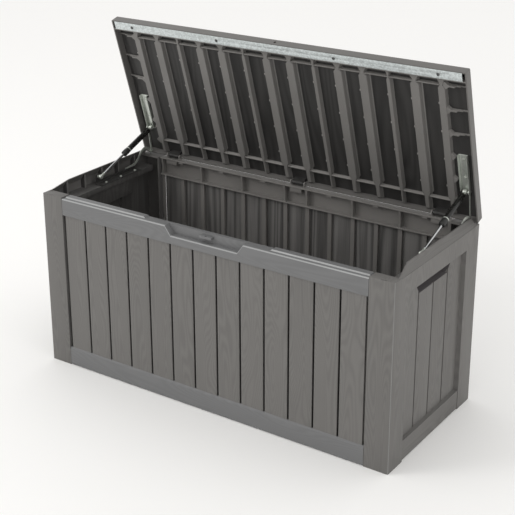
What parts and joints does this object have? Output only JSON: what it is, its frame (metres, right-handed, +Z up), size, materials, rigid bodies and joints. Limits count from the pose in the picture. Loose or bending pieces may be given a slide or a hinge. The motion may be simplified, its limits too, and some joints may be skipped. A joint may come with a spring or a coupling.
{
  "type": "deck storage box",
  "caption": "Long grey resin storage box with plank-grained walls and a ribbed lid held open on two gas struts.",
  "frame": {"origin": "on the ground under the middle of the whole box with its lid open", "axes": "+Z up, +X to the right along the front, the front faces -Y"},
  "size_m": [1.23, 0.528, 1.0561],
  "materials": {
    "grey_resin": "injection-moulded polypropylene with an embossed wood grain, satin",
    "grey_resin_inside": "the same resin, smooth matt inside face",
    "galvanised_steel": "hot-dip galvanised sheet with a fine spangle",
    "zinc_plate": "bright zinc plate, slightly green",
    "dark_steel": "black zinc-plated strip steel, satin",
    "black_paint": "black painted strut cylinder, half gloss",
    "black_plastic": "black moulded plastic collar",
    "polished_steel": "ground and polished steel rod"
  },
  "bodies": {
    "box": {"front_panel": "grey_resin", "back_panel": "grey_resin_inside", "left_side_panel": "grey_resin", "right_side_panel": "grey_resin", "floor_panel": "grey_resin_inside", "hinge_pin_left": "polished_steel", "hinge_pin_middle": "polished_steel", "hinge_pin_right": "polished_steel", "left_base_arm": "dark_steel", "left_gooseneck": "zinc_plate", "left_base_ball_stud": "zinc_plate", "left_pivot_rivet": "zinc_plate", "left_base_arm_screw_1": "zinc_plate", "left_base_arm_screw_2": "zinc_plate", "left_base_arm_screw_3": "zinc_plate", "right_base_arm": "dark_steel", "right_gooseneck": "zinc_plate", "right_base_ball_stud": "zinc_plate", "right_pivot_rivet": "zinc_plate", "right_base_arm_screw_1": "zinc_plate", "right_base_arm_screw_2": "zinc_plate", "right_base_arm_screw_3": "zinc_plate"},
    "lid": {"lid_panel": "grey_resin", "lid_reinforcing_strip": "galvanised_steel", "strip_screw_1": "zinc_plate", "strip_screw_2": "zinc_plate", "strip_screw_3": "zinc_plate", "strip_screw_4": "zinc_plate", "left_lid_arm": "zinc_plate", "left_lid_ball_stud": "zinc_plate", "left_lid_arm_screw_1": "zinc_plate", "left_lid_arm_screw_2": "zinc_plate", "right_lid_arm": "zinc_plate", "right_lid_ball_stud": "zinc_plate", "right_lid_arm_screw_1": "zinc_plate", "right_lid_arm_screw_2": "zinc_plate"},
    "left_rod": {"left_rod_socket": "zinc_plate", "left_rod": "polished_steel"},
    "left_cylinder": {"left_cylinder": "black_paint", "left_guide_collar": "black_plastic", "left_trim_ring": "zinc_plate", "left_cylinder_socket": "zinc_plate"},
    "right_rod": {"right_rod_socket": "zinc_plate", "right_rod": "polished_steel"},
    "right_cylinder": {"right_cylinder": "black_paint", "right_guide_collar": "black_plastic", "right_trim_ring": "zinc_plate", "right_cylinder_socket": "zinc_plate"}
  },
  "joints": [
    {"name": "lid_hinge", "type": "hinge", "parent": "box", "child": "lid", "pos_m": [0, 0.23798, 0.578], "axis": [1, 0, 0], "range_deg": [0, 73], "stiffness_Nm_per_rad": 3, "springref_deg": -69.9},
    {"name": "left_rod_pivot", "type": "hinge", "parent": "box", "child": "left_rod", "pos_m": [-0.5745, -0.04002, 0.566], "axis": [1, 0, 0], "range_deg": [-14.47, 0]},
    {"name": "left_cylinder_slide", "type": "slide", "parent": "left_rod", "child": "left_cylinder", "axis": [0, 0.9327, 0.3606], "range_m": [-0.09086, 0]},
    {"name": "right_rod_pivot", "type": "hinge", "parent": "box", "child": "right_rod", "pos_m": [0.5745, -0.04002, 0.566], "axis": [1, 0, 0], "range_deg": [-14.47, 0]},
    {"name": "right_cylinder_slide", "type": "slide", "parent": "right_rod", "child": "right_cylinder", "axis": [0, 0.9327, 0.3606], "range_m": [-0.09086, 0]}
  ],
  "couplings": [
    {"joint": "left_rod_pivot", "follows": "lid_hinge", "ratio": -0.19809},
    {"joint": "left_cylinder_slide", "follows": "lid_hinge", "m_per_rad": -0.071272},
    {"joint": "right_rod_pivot", "follows": "lid_hinge", "ratio": -0.19809},
    {"joint": "right_cylinder_slide", "follows": "lid_hinge", "m_per_rad": -0.071272}
  ]
}
